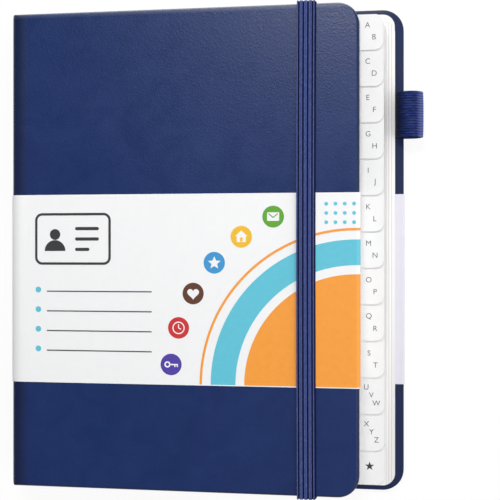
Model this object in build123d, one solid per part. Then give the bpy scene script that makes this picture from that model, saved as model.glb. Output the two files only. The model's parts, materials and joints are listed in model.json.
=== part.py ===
"""Hard-cover index book lying on its back cover: a case of two covered boards and a spine, a sewn
block of step-cut index sections, an elastic closing strap, a pen loop and a removable paper wrap.

Frame: +X towards the fore-edge, +Y towards the head, +Z up through the front cover. The origin is
the centre of the back cover, on the plane that the closed book rests on. Sizes are in millimetres.
"""

import os

from build123d import *

# Case
BOOK_HEIGHT = 193.0
BACK_WIDTH = 158.7
FRONT_WIDTH = 142.1
LEATHER = 0.5
BOARD = 1.6
PASTEDOWN = 0.2
TURN_IN = 14.0
FORE_CORNER = 8.5
SPINE_CORNER = 1.5
COVER_EDGE_ROUND = 1.2
SPINE_ROUND_WIDTH = 4.6
SPINE_ROUND_DROP = 2.4
BOARD_CLEARANCE = 0.05
PASTEDOWN_MARGIN = 3.55
PASTEDOWN_END_MARGIN = 1.8
HINGE_GAP = 0.15

# Spine
SPINE_CARD = 0.8
SPINE_ROUND = 0.4
SPINE_TAPE = 0.3
SPINE_LINING = 0.3
TAPE_WIDTH = 9.0
TAPE_COUNT = 4
HEADBAND_RADIUS = 0.9
LAYER_GAP = 0.03

# Index block
SECTION_NAMES = ["ab", "cd", "ef", "gh", "ij", "kl", "mn", "op", "qr", "st", "uvw", "xyz", "star"]
SECTION_PITCH = 1.03
LEAVES = 0.76
TAB_LEAF = 0.2
FOLD_RADIUS = 0.14
FOLD_CLEARANCE = 0.2
GUTTER_TAPER = 5.0
TIP_ON = 6.0
FORE_SQUARE = 3.4
HEAD_SQUARE = 4.5
TAIL_SQUARE = 2.2
TAB_INSET = 3.9
TAB_DEPTH = 14.0
TAB_CORNER = 3.5
TAB_FIRST_SHARE = 0.97
TAB_GROWTH = 0.006
BLOCK_CORNER = 4.8
LEAF_STEP = 1.1
LEAF_STEP_COUNT = 4
FLYLEAF = 0.15
BLOCK_CLEARANCE = 0.12

# Elastic strap
STRAP_WIDTH = 7.0
STRAP = 1.0
STRAP_INSET = 20.45
STRAP_STUB = 11.0
STRAP_BEND = 1.2
STRAP_CLEARANCE = 0.12

# Pen loop
LOOP_BORE = 9.0
LOOP_WALL = 0.9
LOOP_WIDTH = 17.9
LOOP_FROM_HEAD = 42.95
LOOP_TAIL = 20.0
LOOP_BLOCK_GAP = 0.55
LOOP_CLEARANCE = 0.1

# Paper wrap
WRAP = 0.25
WRAP_HEIGHT = 76.2
WRAP_FROM_HEAD = 74.1
WRAP_FLAP = 45.0
FLAP_BEND = 0.3
WRAP_CLEARANCE = 0.1
WRAP_HINGE_GAP = 0.45

# Heights, from the resting plane up
SHELL = 2 * LEATHER + BOARD
COVER = SHELL + PASTEDOWN
SECTION_COUNT = len(SECTION_NAMES)
BACK_OUTER_Z = WRAP + WRAP_CLEARANCE
BACK_INNER_Z = BACK_OUTER_Z + COVER
FLAP_ROOM = WRAP_CLEARANCE + WRAP + BLOCK_CLEARANCE
BLOCK_Z = BACK_INNER_Z + FLAP_ROOM + FLYLEAF + LAYER_GAP
BLOCK_TOP_Z = BLOCK_Z + SECTION_COUNT * SECTION_PITCH
FRONT_INNER_Z = BLOCK_TOP_Z + FLYLEAF + FLAP_ROOM
FRONT_OUTER_Z = FRONT_INNER_Z + COVER
BACK_HINGE_Z = BACK_OUTER_Z + SHELL
FRONT_HINGE_Z = FRONT_OUTER_Z - SHELL
SECTION_HALF = (LEAVES + LAYER_GAP + TAB_LEAF) / 2

# Places across the book
SPINE_X = -BACK_WIDTH / 2
BACK_FORE_X = BACK_WIDTH / 2
FRONT_FORE_X = SPINE_X + FRONT_WIDTH
BLOCK_FORE_X = BACK_FORE_X - FORE_SQUARE
TAB_FORE_X = BLOCK_FORE_X - TAB_INSET
BLOCK_Y = (-BOOK_HEIGHT / 2 + TAIL_SQUARE, BOOK_HEIGHT / 2 - HEAD_SQUARE)
BLOCK_HEIGHT = BLOCK_Y[1] - BLOCK_Y[0]
TAB_HEIGHT = BLOCK_HEIGHT / SECTION_COUNT
WRAP_TOP_Y = BOOK_HEIGHT / 2 - WRAP_FROM_HEAD
WRAP_Y = (WRAP_TOP_Y - WRAP_HEIGHT, WRAP_TOP_Y)
TAPE_X = SPINE_X + LEATHER + SPINE_CARD + 2 * LAYER_GAP
LINING_X = TAPE_X + SPINE_TAPE + LAYER_GAP
FOLD_X = LINING_X + SPINE_LINING + FOLD_CLEARANCE + FOLD_RADIUS
STRAP_X = FRONT_FORE_X - STRAP_INSET
LOOP_RADIUS = LOOP_BORE / 2
LOOP_OUTER = LOOP_RADIUS + LOOP_WALL
LOOP_X = BLOCK_FORE_X + LOOP_BLOCK_GAP + LOOP_OUTER
LOOP_CENTRE_Y = BOOK_HEIGHT / 2 - LOOP_FROM_HEAD
LOOP_Z = BACK_OUTER_Z + SHELL - LOOP_WALL + LOOP_OUTER


def block(x, y, z):
    """A plain block between two values on each axis."""
    size = (x[1] - x[0], y[1] - y[0], z[1] - z[0])
    centre = (sum(x) / 2, sum(y) / 2, sum(z) / 2)
    return Pos(*centre) * Box(*size)


def outline(x, y, fore_round, spine_round):
    """A flat rectangle whose fore-edge and spine corners are rounded."""
    sheet = Pos(sum(x) / 2, sum(y) / 2) * Rectangle(x[1] - x[0], y[1] - y[0])
    sheet = fillet(sheet.vertices().group_by(Axis.X)[-1], fore_round)
    if spine_round:
        sheet = fillet(sheet.vertices().group_by(Axis.X)[0], spine_round)
    return sheet


def plate(x, y, z, fore_round, spine_round=0.0):
    """An outline raised from one height to another."""
    return Pos(0, 0, z[0]) * extrude(outline(x, y, fore_round, spine_round), z[1] - z[0])


def lift(shape, z):
    return Pos(0, 0, z) * shape


def half_height(inset=0.0):
    return (-BOOK_HEIGHT / 2 + inset, BOOK_HEIGHT / 2 - inset)


def spine_rounded(x, z, distance):
    """A rectangle whose lower spine corner is an elliptical round, at a distance outside a cover's."""
    width = SPINE_ROUND_WIDTH + distance
    drop = SPINE_ROUND_DROP + distance
    rest = Polyline((x[0] + width, z[0]), (x[1], z[0]), (x[1], z[1]), (x[0], z[1]), (x[0], z[0] + drop))
    corner = EllipticalCenterArc((x[0] + width, z[0] + drop), width, drop, 180, arc_size=90)
    return make_face([rest, corner])


def spine_edge_limit(fore_x, inset):
    """The space inside a cover's rounded spine edge, an inset below its outer surface."""
    profile = spine_rounded((SPINE_X + inset, fore_x), (inset, COVER), -inset)
    return extrude(Plane.XZ * profile, BOOK_HEIGHT / 2, both=True)


def cover_parts(fore_x):
    """Leather, board, infill and pastedown of a cover, outer face down at height 0."""
    edge = (SPINE_X, fore_x)
    leather = plate(edge, half_height(), (0, SHELL), FORE_CORNER, SPINE_CORNER)
    outer_rim = leather.faces().sort_by(Axis.Z)[0].outer_wire().edges()
    leather = fillet(outer_rim, COVER_EDGE_ROUND) & spine_edge_limit(fore_x, 0)
    inset = LEATHER + BOARD_CLEARANCE
    board_edge = (SPINE_X + inset, fore_x - inset)
    board_space = plate(
        (SPINE_X + LEATHER, fore_x - LEATHER),
        half_height(LEATHER),
        (LEATHER, LEATHER + BOARD),
        FORE_CORNER - LEATHER,
    )
    board_space = board_space & spine_edge_limit(fore_x, LEATHER)
    window = (SPINE_X + TURN_IN, fore_x - TURN_IN)
    window_cut = block(window, half_height(TURN_IN), (LEATHER, SHELL))
    board = plate(board_edge, half_height(inset), (LEATHER, LEATHER + BOARD), FORE_CORNER - inset)
    board = board & spine_edge_limit(fore_x, inset)
    infill = block(
        (window[0] + BOARD_CLEARANCE, window[1] - BOARD_CLEARANCE),
        half_height(TURN_IN + BOARD_CLEARANCE),
        (LEATHER + BOARD, SHELL),
    )
    pastedown = plate(
        (SPINE_X + PASTEDOWN_MARGIN, fore_x - PASTEDOWN_MARGIN),
        half_height(PASTEDOWN_END_MARGIN),
        (SHELL, COVER),
        FORE_CORNER - PASTEDOWN_MARGIN,
    )
    return {"cover_leather": leather - board_space - window_cut, "board": board, "infill": infill,
            "pastedown": pastedown}


def back_cover():
    """The lower cover, with the strap's channels and slits and the pen loop's seat cut into it."""
    parts = {name: lift(shape, BACK_OUTER_Z) for name, shape in cover_parts(BACK_FORE_X).items()}
    strap_x = (STRAP_X - STRAP_WIDTH / 2 - STRAP_CLEARANCE, STRAP_X + STRAP_WIDTH / 2 + STRAP_CLEARANCE)
    channel_z = (0, BACK_OUTER_Z + STRAP + STRAP_CLEARANCE)
    slit_z = (channel_z[0], BACK_OUTER_Z + SHELL)
    slit_y = BOOK_HEIGHT / 2 - STRAP_STUB
    cuts = []
    for side in (1, -1):
        channel_y = sorted((side * (slit_y - STRAP_CLEARANCE), side * BOOK_HEIGHT))
        slit = sorted((side * (slit_y - STRAP_CLEARANCE), side * (slit_y + STRAP + STRAP_CLEARANCE)))
        cuts.append(block(strap_x, channel_y, channel_z))
        cuts.append(block(strap_x, slit, slit_z))
    seat_half = LOOP_WIDTH / 2 + LOOP_CLEARANCE
    seat_y = (LOOP_CENTRE_Y - seat_half, LOOP_CENTRE_Y + seat_half)
    seat_x = (loop_tail_end() - LOOP_CLEARANCE, BACK_FORE_X + LOOP_OUTER)
    cuts.append(block(seat_x, seat_y, (LOOP_Z - LOOP_OUTER - LOOP_CLEARANCE, BACK_OUTER_Z + SHELL)))
    for name in ("cover_leather", "board", "infill"):
        for cut in cuts:
            parts[name] = parts[name] - cut
    return parts


def front_cover():
    """The upper cover: the same layers turned over, on a narrower board."""
    return {name: lift(Rot(180, 0, 0) * shape, FRONT_OUTER_Z)
            for name, shape in cover_parts(FRONT_FORE_X).items()}


def spine_parts():
    """Leather tray, stiffening card, sewing tapes, lining and the two headbands."""
    z = (BACK_HINGE_Z + HINGE_GAP, FRONT_HINGE_Z - HINGE_GAP)
    block_z = (BLOCK_Z, BLOCK_TOP_Z)
    card_x = (SPINE_X + LEATHER + LAYER_GAP, SPINE_X + LEATHER + LAYER_GAP + SPINE_CARD)
    tray = block((SPINE_X, card_x[1]), half_height(), z)
    tray = fillet(tray.edges().filter_by(Axis.Z).sort_by(Axis.X)[:2], SPINE_ROUND)
    tray = tray - block((card_x[0] - LAYER_GAP, card_x[1]), half_height(LEATHER), z)
    card = block(card_x, half_height(LEATHER + BOARD_CLEARANCE), z)
    tape_step = BLOCK_HEIGHT / (TAPE_COUNT + 1)
    tapes = []
    for index in range(TAPE_COUNT):
        y = BLOCK_Y[0] + (index + 1) * tape_step
        tape_y = (y - TAPE_WIDTH / 2, y + TAPE_WIDTH / 2)
        tapes.append(block((TAPE_X, TAPE_X + SPINE_TAPE), tape_y, block_z))
    band_reach = LAYER_GAP + HEADBAND_RADIUS
    tail_y, head_y = BLOCK_Y[0] - band_reach, BLOCK_Y[1] + band_reach
    lining_y = (tail_y - HEADBAND_RADIUS, head_y + HEADBAND_RADIUS)
    lining = block((LINING_X, LINING_X + SPINE_LINING), lining_y, block_z)
    bead = Cylinder(HEADBAND_RADIUS, block_z[1] - block_z[0])
    band_x = LINING_X + SPINE_LINING + LAYER_GAP + HEADBAND_RADIUS
    band_z = sum(block_z) / 2
    return {
        "spine_leather": tray,
        "spine_card": card,
        "sewing_tapes": Compound(children=tapes),
        "spine_lining": lining,
        "head_band": Pos(band_x, head_y, band_z) * bead,
        "tail_band": Pos(band_x, tail_y, band_z) * bead,
    }


def section_base(index):
    """Height of the underside of an index section; section 0 lies under the front cover."""
    return BLOCK_TOP_Z - (index + 1) * SECTION_PITCH


def tab_foot(index):
    """Lower edge of a tab; the tabs grow a little towards the tail, and the last takes the rest."""
    if index == SECTION_COUNT - 1:
        return BLOCK_Y[0]
    shares = (index + 1) * (TAB_FIRST_SHARE + TAB_GROWTH * index / 2)
    return BLOCK_Y[1] - shares * TAB_HEIGHT


def section_outline(index):
    """Plan of a section: cut back below its own tab, so that the next tabs show past it."""
    low, high = BLOCK_Y
    start = FOLD_X - SECTION_PITCH
    if index == SECTION_COUNT - 1:
        return outline((start, TAB_FORE_X), BLOCK_Y, TAB_CORNER, 0)
    cut_x = TAB_FORE_X - TAB_DEPTH
    tab_low = tab_foot(index)
    body = Pos((start + cut_x) / 2, (low + high) / 2) * Rectangle(cut_x - start, BLOCK_HEIGHT)
    tab = Rectangle(TAB_FORE_X - start, high - tab_low)
    sheet = body + Pos((start + TAB_FORE_X) / 2, (high + tab_low) / 2) * tab
    sheet = fillet(sheet.vertices().group_by(Axis.X)[-1].sort_by(Axis.Y)[-1], TAB_CORNER)
    return fillet(sheet.vertices().group_by(Axis.X)[-1].sort_by(Axis.Y)[0], TAB_CORNER)


def leaves_profile(index):
    """Cross-section of a gathering: a rounded sewn fold that widens through the gutter.

    The last gathering is wider than the tabs, and its leaves stand out in steps at the fore-edge.
    """
    low = section_base(index)
    high = low + LEAVES
    fold_z = low + SECTION_HALF
    flat_x = FOLD_X + GUTTER_TAPER
    points = [(FOLD_X, fold_z + FOLD_RADIUS), (flat_x, high)]
    if index == SECTION_COUNT - 1:
        for step in range(LEAF_STEP_COUNT):
            x = BLOCK_FORE_X - (LEAF_STEP_COUNT - 1 - step) * LEAF_STEP
            points.append((x, high - step * LEAVES / LEAF_STEP_COUNT))
            points.append((x, high - (step + 1) * LEAVES / LEAF_STEP_COUNT))
    else:
        points.append((TAB_FORE_X, high))
        points.append((TAB_FORE_X, low))
    points.append((flat_x, low))
    points.append((FOLD_X, fold_z - FOLD_RADIUS))
    bead = ThreePointArc(points[-1], (FOLD_X - FOLD_RADIUS, fold_z), points[0])
    return make_face([Polyline(*points), bead])


def section_leaves(index):
    """The writing leaves of a section, held to the plan of its tab or, at the last, of the block."""
    low = section_base(index) - LAYER_GAP
    bundle = extrude(Plane.XZ * leaves_profile(index), BLOCK_HEIGHT / 2, both=True)
    bundle = Pos(0, sum(BLOCK_Y) / 2, 0) * bundle
    if index == SECTION_COUNT - 1:
        plan = outline((FOLD_X - SECTION_PITCH, BLOCK_FORE_X), BLOCK_Y, BLOCK_CORNER, 0)
    else:
        plan = section_outline(index)
    return bundle & lift(extrude(plan, SECTION_PITCH), low)


def tab_leaf(index):
    """The printed index leaf, tipped on to the front of its section past the gutter."""
    low = section_base(index) + LEAVES + LAYER_GAP
    leaf = lift(extrude(section_outline(index), TAB_LEAF), low)
    gutter = block((SPINE_X, FOLD_X + TIP_ON), half_height(), (low, low + TAB_LEAF))
    return leaf - gutter


def flyleaves():
    """Plain leaves tipped on to the first and last sections; the first stops short of the tabs."""
    front_x = (FOLD_X + TIP_ON, TAB_FORE_X - TAB_DEPTH)
    back_x = (FOLD_X + TIP_ON, BLOCK_FORE_X)
    back_top = BLOCK_Z - LAYER_GAP
    return {
        "front_flyleaf": block(front_x, BLOCK_Y, (BLOCK_TOP_Z, BLOCK_TOP_Z + FLYLEAF)),
        "back_flyleaf": plate(back_x, BLOCK_Y, (back_top - FLYLEAF, back_top), BLOCK_CORNER),
    }


def elastic_strap():
    """Flat elastic round the front cover, let into the back cover at a slit near head and tail."""
    inner_half = BOOK_HEIGHT / 2 + STRAP_CLEARANCE
    low = BACK_OUTER_Z
    top = FRONT_OUTER_Z + WRAP + WRAP_CLEARANCE + STRAP_CLEARANCE
    outer = Pos(0, (low + top + STRAP) / 2) * RectangleRounded(
        2 * (inner_half + STRAP), top + STRAP - low, STRAP_BEND
    )
    inner = Pos(0, (low + STRAP + top) / 2) * RectangleRounded(
        2 * inner_half, top - low - STRAP, STRAP_BEND - STRAP
    )
    ring = extrude(Plane.YZ * (outer - inner), STRAP_WIDTH / 2, both=True)
    slit_y = BOOK_HEIGHT / 2 - STRAP_STUB
    strap_x = (-STRAP_WIDTH / 2, STRAP_WIDTH / 2)
    strap = ring - block((-STRAP_WIDTH, STRAP_WIDTH), (-slit_y, slit_y), (0, low + STRAP))
    for side in (1, -1):
        leg_y = sorted((side * slit_y, side * (slit_y + STRAP)))
        leg_top = BACK_OUTER_Z + SHELL - BOARD_CLEARANCE
        strap = strap + block(strap_x, leg_y, (low, leg_top))
    return Pos(STRAP_X, 0, 0) * strap


def loop_tail_end():
    return BACK_FORE_X - LOOP_TAIL


def pen_loop():
    """Elastic loop for a pen, with its flat tail glued under the back pastedown."""
    ring = Pos(LOOP_X, LOOP_Z) * (Circle(LOOP_OUTER) - Circle(LOOP_RADIUS))
    tail_z = LOOP_Z - LOOP_OUTER
    tail = Pos((loop_tail_end() + LOOP_X) / 2, tail_z + LOOP_WALL / 2) * Rectangle(
        LOOP_X - loop_tail_end(), LOOP_WALL
    )
    profile = Plane.XZ * (ring + tail - Pos(LOOP_X, LOOP_Z) * Circle(LOOP_RADIUS))
    return Pos(0, LOOP_CENTRE_Y, 0) * extrude(profile, LOOP_WIDTH / 2, both=True)


def wrap_fold(fore_x, distance, flap_bend):
    """Cross-section of the folded paper at a distance outside a cover, with a sharper inner bend."""
    x = (SPINE_X - distance, fore_x + distance)
    sheet = spine_rounded(x, (-distance, COVER + distance), distance)
    fore_low = sheet.vertices().group_by(Axis.Y)[0].sort_by(Axis.X)[-1]
    sheet = fillet(fore_low, COVER_EDGE_ROUND + distance)
    return fillet(sheet.vertices().group_by(Axis.Y)[-1], flap_bend)


def cover_wrap(fore_x):
    """Paper folded round a cover, outer face down at height 0: panel, fore-edge fold and flap."""
    near = WRAP_CLEARANCE
    far = near + WRAP
    outer = wrap_fold(fore_x, far, FLAP_BEND + WRAP)
    inner = wrap_fold(fore_x, near, FLAP_BEND)
    ring = Plane.XZ * (outer - inner)
    sleeve = Pos(0, sum(WRAP_Y) / 2, 0) * extrude(ring, WRAP_HEIGHT / 2, both=True)
    open_x = (SPINE_X - 2 * far, fore_x - WRAP_FLAP)
    return sleeve - block(open_x, half_height(), (SHELL - WRAP_CLEARANCE, COVER + 2 * far))


def wraps():
    """The paper wrap, creased into a panel for each cover and one for the spine."""
    spine_x = (SPINE_X - WRAP_CLEARANCE - WRAP, SPINE_X - WRAP_CLEARANCE)
    spine_z = (BACK_HINGE_Z + WRAP_HINGE_GAP, FRONT_HINGE_Z - WRAP_HINGE_GAP)
    turn = Rot(180, 0, 0)
    return {
        "wrap_back": lift(cover_wrap(BACK_FORE_X), BACK_OUTER_Z),
        "wrap_spine": block(spine_x, WRAP_Y, spine_z),
        "wrap_front": Pos(0, sum(WRAP_Y), FRONT_OUTER_Z) * (turn * cover_wrap(FRONT_FORE_X)),
    }


def all_nodes():
    nodes = {}
    for side, layers in (("back", back_cover()), ("front", front_cover())):
        for layer, shape in layers.items():
            nodes[f"{side}_{layer}"] = shape
    nodes.update(spine_parts())
    for index, name in enumerate(SECTION_NAMES):
        nodes[f"leaves_{name}"] = section_leaves(index)
        nodes[f"tab_{name}"] = tab_leaf(index)
    nodes.update(flyleaves())
    nodes["elastic_strap"] = elastic_strap()
    nodes["pen_loop"] = pen_loop()
    nodes.update(wraps())
    return nodes


os.makedirs("parts", exist_ok=True)
for node_name, node_shape in all_nodes().items():
    export_step(node_shape, f"parts/{node_name}.step")
print("hinge heights", BACK_HINGE_Z, FRONT_HINGE_Z, "fold x", FOLD_X, "strap x", STRAP_X)
print("loop axis", LOOP_X, LOOP_CENTRE_Y, LOOP_Z, "outer faces", BACK_OUTER_Z, FRONT_OUTER_Z)
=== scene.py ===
import json
import math

import bmesh
import bpy
from mathutils import Matrix, Vector


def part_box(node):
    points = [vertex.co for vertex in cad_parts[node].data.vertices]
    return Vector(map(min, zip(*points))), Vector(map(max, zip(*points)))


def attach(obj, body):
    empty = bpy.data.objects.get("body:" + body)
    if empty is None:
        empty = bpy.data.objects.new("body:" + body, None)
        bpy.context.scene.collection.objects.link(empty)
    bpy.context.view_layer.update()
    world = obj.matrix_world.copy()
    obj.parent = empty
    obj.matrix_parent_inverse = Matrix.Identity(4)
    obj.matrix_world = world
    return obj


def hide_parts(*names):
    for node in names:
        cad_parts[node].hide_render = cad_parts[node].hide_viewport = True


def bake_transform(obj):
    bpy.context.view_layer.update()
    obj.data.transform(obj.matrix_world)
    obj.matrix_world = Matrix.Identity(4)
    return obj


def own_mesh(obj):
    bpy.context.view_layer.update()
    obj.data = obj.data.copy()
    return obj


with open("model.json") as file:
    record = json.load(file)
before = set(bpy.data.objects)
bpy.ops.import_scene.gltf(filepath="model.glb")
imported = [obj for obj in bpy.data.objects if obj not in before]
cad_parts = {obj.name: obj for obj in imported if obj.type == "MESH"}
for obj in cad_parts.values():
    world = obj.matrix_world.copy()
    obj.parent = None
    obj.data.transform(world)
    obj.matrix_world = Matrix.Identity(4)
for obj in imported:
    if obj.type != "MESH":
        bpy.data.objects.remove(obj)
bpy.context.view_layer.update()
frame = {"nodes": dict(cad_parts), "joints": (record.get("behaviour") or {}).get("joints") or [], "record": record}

# Sizes are in millimetres, read from the frame where it has them.
MM = 0.001
SECTION_NAMES = ["ab", "cd", "ef", "gh", "ij", "kl", "mn", "op", "qr", "st", "uvw", "xyz", "star"]


def node_box(name):
    low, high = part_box(name)
    return low / MM, high / MM


def joint_place(name):
    joint = next(j for j in frame["joints"] if j["name"] == name)
    return Vector(joint["pos_m"]) / MM


FRONT_LOW, FRONT_HIGH = node_box("front_cover_leather")
BACK_LOW, BACK_HIGH = node_box("back_cover_leather")
WRAP_LOW, WRAP_HIGH = node_box("wrap_front")
STRAP_LOW, STRAP_HIGH = node_box("elastic_strap")
LOOP_LOW, LOOP_HIGH = node_box("pen_loop")
SPINE_LOW, SPINE_HIGH = node_box("spine_leather")
FRONT_HINGE = joint_place("front_cover_hinge")
BACK_HINGE = joint_place("spine_hinge")
PEN = next(m for m in frame["record"]["mounts"] if m["name"] == "pen_loop")
LOOP_AXIS = Vector(PEN["pos_m"]) / MM
SPINE_X = FRONT_LOW.x
SPINE_ROUND_WIDTH = 4.6
SPINE_ROUND_DROP = 2.4
COVER_EDGE_ROUND = 1.2


# Node and material helpers

def link(tree, source, target):
    tree.links.new(source, target)


def add(tree, kind, inputs=None, **settings):
    """A shader node with its settings and input values."""
    made = tree.nodes.new(kind)
    for name, value in settings.items():
        setattr(made, name, value)
    for name, value in (inputs or {}).items():
        made.inputs[name].default_value = value
    return made


def new_material(name, roughness, specular, sheen=0.0):
    material = bpy.data.materials.new(name)
    material.use_nodes = True
    shader = material.node_tree.nodes["Principled BSDF"]
    shader.inputs["Roughness"].default_value = roughness
    shader.inputs["Specular IOR Level"].default_value = specular
    shader.inputs["Sheen Weight"].default_value = sheen
    return material, material.node_tree, shader


def object_place(tree, scale=(1, 1, 1)):
    """Object coordinates in metres, stretched by a scale on each axis."""
    place = add(tree, "ShaderNodeTexCoord")
    stretch = add(tree, "ShaderNodeMapping", {"Scale": scale})
    link(tree, place.outputs["Object"], stretch.inputs["Vector"])
    return stretch.outputs["Vector"]


def split(tree, vector):
    """The X, Y and Z outputs of a vector."""
    made = add(tree, "ShaderNodeSeparateXYZ")
    link(tree, vector, made.inputs[0])
    return made.outputs


def surface_normal(tree):
    """The X, Y and Z outputs of the surface's normal in the object's own frame."""
    return split(tree, add(tree, "ShaderNodeTexCoord").outputs["Normal"])


def noise(tree, place, scale, detail=3.0, rough=0.55, distortion=0.0):
    settings = {"Scale": scale, "Detail": detail, "Roughness": rough, "Distortion": distortion}
    made = add(tree, "ShaderNodeTexNoise", settings)
    link(tree, place, made.inputs["Vector"])
    return made.outputs["Fac"]


def ramp(tree, value, low, high):
    """Stretches a value so that low gives 0 and high gives 1."""
    made = add(tree, "ShaderNodeMapRange", {"From Min": low, "From Max": high})
    link(tree, value, made.inputs["Value"])
    return made.outputs["Result"]


def band(tree, coordinate, span):
    """0 to 1 along a coordinate, between two places in millimetres."""
    return ramp(tree, coordinate, span[0] * MM, span[1] * MM)


def math_node(tree, operation, first, second):
    made = add(tree, "ShaderNodeMath", operation=operation)
    for index, value in enumerate((first, second)):
        if isinstance(value, (int, float)):
            made.inputs[index].default_value = value
        else:
            link(tree, value, made.inputs[index])
    return made.outputs[0]


def multiply(tree, first, second):
    return math_node(tree, "MULTIPLY", first, second)


def mix(tree, factor, first, second):
    """Mixes two colours, each a tuple or a socket, by a socket."""
    made = add(tree, "ShaderNodeMix", data_type="RGBA")
    link(tree, factor, made.inputs["Factor"])
    for key, value in (("A", first), ("B", second)):
        socket = next(s for s in made.inputs if s.name == key and s.type == "RGBA")
        if isinstance(value, tuple):
            socket.default_value = (*value, 1)
        else:
            link(tree, value, socket)
    return next(s for s in made.outputs if s.type == "RGBA")


def tint(tree, colour, factor, share, target):
    """Moves a colour towards a target by a share of a factor."""
    return mix(tree, multiply(tree, factor, share), colour, target)


def bump(tree, shader, height, strength, distance_mm):
    made = add(tree, "ShaderNodeBump", {"Strength": strength, "Distance": distance_mm * MM})
    link(tree, height, made.inputs["Height"])
    link(tree, made.outputs["Normal"], shader.inputs["Normal"])


# Leather

LEATHER_BASE = (0.0045, 0.0240, 0.112)
LEATHER_BROAD = (0.0086, 0.0235, 0.116)
LEATHER_CLOUD = (0.0092, 0.0295, 0.131)
LEATHER_ROUGHNESS = (0.30, 0.39)
PEBBLE_SCALE = 1500.0
CREASE_SHARE = 1.4
# Painted shade: the leather grows darker over a band at its rounded spine edge.
SPINE_SHADE = (0.0085, 0.0120, 0.034)
SPINE_SHARE = 0.62
SPINE_BAND = (SPINE_X + SPINE_ROUND_WIDTH + 3.2, SPINE_X + SPINE_ROUND_WIDTH - 0.6)
# Painted shade: the leather level with the back cover's inner face, its turn-in beside the leaf block, is
# darkened; it is also made duller.
TURN_IN_SHADE = (0.0050, 0.0110, 0.042)
TURN_IN_SHARE = 0.7
TURN_IN_DULLNESS = 0.3
TURN_IN_BELOW = (BACK_HIGH.z - 0.6, BACK_HIGH.z - 0.2)
TURN_IN_ABOVE = (BACK_HIGH.z + 2.0, BACK_HIGH.z + 0.5)
# Painted highlight: a paler, greyer tone on faces turned to the head and along the head edge, fading towards the
# spine.
PAINTED_HIGHLIGHT_COLOUR = (0.20, 0.215, 0.27)
PAINTED_HIGHLIGHT_SHARE = 0.7
PAINTED_HIGHLIGHT_HEAD = (BACK_HIGH.y - 2.2, BACK_HIGH.y - 0.2)
PAINTED_HIGHLIGHT_HEAD_SHARE = 0.9
PAINTED_HIGHLIGHT_ACROSS = (-130.0, 0.0)
# Painted shade: faces turned to the fore-edge and to the tail are darkened.
SIDE_SHADE = (0.0035, 0.0070, 0.026)
SIDE_SHARE = 0.75


def leather_painted_light(tree, place, colour):
    """Painted shade on the spine edge, fore-edge and tail, and a painted highlight along the head."""
    across = split(tree, place)
    facing = surface_normal(tree)
    # Painted shade over the band at the rounded spine edge.
    colour = tint(tree, colour, band(tree, across["X"], SPINE_BAND), SPINE_SHARE, SPINE_SHADE)
    # Painted highlight on the head's shoulder and along the head edge, stronger towards the fore-edge.
    shoulder = multiply(tree, ramp(tree, facing["Y"], 0.15, 0.6), ramp(tree, facing["Z"], 0.05, 0.3))
    head = multiply(tree, band(tree, across["Y"], PAINTED_HIGHLIGHT_HEAD), PAINTED_HIGHLIGHT_HEAD_SHARE)
    upper = math_node(tree, "MAXIMUM", shoulder, head)
    head_highlight = multiply(tree, upper, band(tree, across["X"], PAINTED_HIGHLIGHT_ACROSS))
    colour = tint(tree, colour, head_highlight, PAINTED_HIGHLIGHT_SHARE, PAINTED_HIGHLIGHT_COLOUR)
    # Painted shade on faces turned to the fore-edge and the tail.
    fore_edge = ramp(tree, facing["X"], 0.2, 0.6)
    tail = ramp(tree, facing["Y"], -0.2, -0.6)
    return tint(tree, colour, math_node(tree, "MAXIMUM", fore_edge, tail), SIDE_SHARE, SIDE_SHADE)


def leather_material():
    """Navy leatherette: broad soft mottling, faint creases and a fine pebbled grain."""
    material, tree, shader = new_material("navy_leatherette", roughness=0.5, specular=0.28)
    place = object_place(tree)
    broad = ramp(tree, noise(tree, place, scale=22, detail=4, rough=0.6, distortion=0.4), 0.3, 0.7)
    cloud = ramp(tree, noise(tree, place, scale=75, detail=5, rough=0.65, distortion=0.8), 0.35, 0.72)
    colour = mix(tree, broad, LEATHER_BASE, LEATHER_BROAD)
    colour = mix(tree, cloud, colour, LEATHER_CLOUD)
    colour = leather_painted_light(tree, place, colour)
    # Painted shade on the back cover's turn-in.
    level = split(tree, place)["Z"]
    turn_in = multiply(tree, band(tree, level, TURN_IN_BELOW), band(tree, level, TURN_IN_ABOVE))
    colour = tint(tree, colour, turn_in, TURN_IN_SHARE, TURN_IN_SHADE)
    link(tree, colour, shader.inputs["Base Color"])
    smooth, dull = LEATHER_ROUGHNESS
    rough = add(tree, "ShaderNodeMapRange", {"To Min": smooth, "To Max": dull})
    link(tree, cloud, rough.inputs["Value"])
    dulled = math_node(tree, "ADD", rough.outputs["Result"], multiply(tree, turn_in, TURN_IN_DULLNESS))
    link(tree, dulled, shader.inputs["Roughness"])
    pebble = add(tree, "ShaderNodeTexVoronoi", {"Scale": PEBBLE_SCALE, "Randomness": 1.0})
    link(tree, place, pebble.inputs["Vector"])
    crease = noise(tree, place, scale=420, detail=4, rough=0.6, distortion=1.2)
    height = math_node(tree, "ADD", pebble.outputs["Distance"], multiply(tree, crease, CREASE_SHARE))
    bump(tree, shader, height, strength=0.22, distance_mm=0.12)
    return material


# Paper, elastic, cloth and ink

LINE_PITCH = 8.4
LINE_WIDTH = 0.22
LINES_X = (-62.0, 52.0)
LINES_Y = (-84.0, 80.0)
LINE_COLOUR = (0.42, 0.46, 0.52)
LEAF_FACE_LEAST = 0.9
SHEET_STRETCH = (6, 6, 7800)
SHEET_DARK = (0.80, 0.792, 0.785)
SHEET_PALE = (0.89, 0.885, 0.88)
CLOTH_STRETCH = (2500, 2500, 1200)
SPECK_SHARE = 0.6
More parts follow.
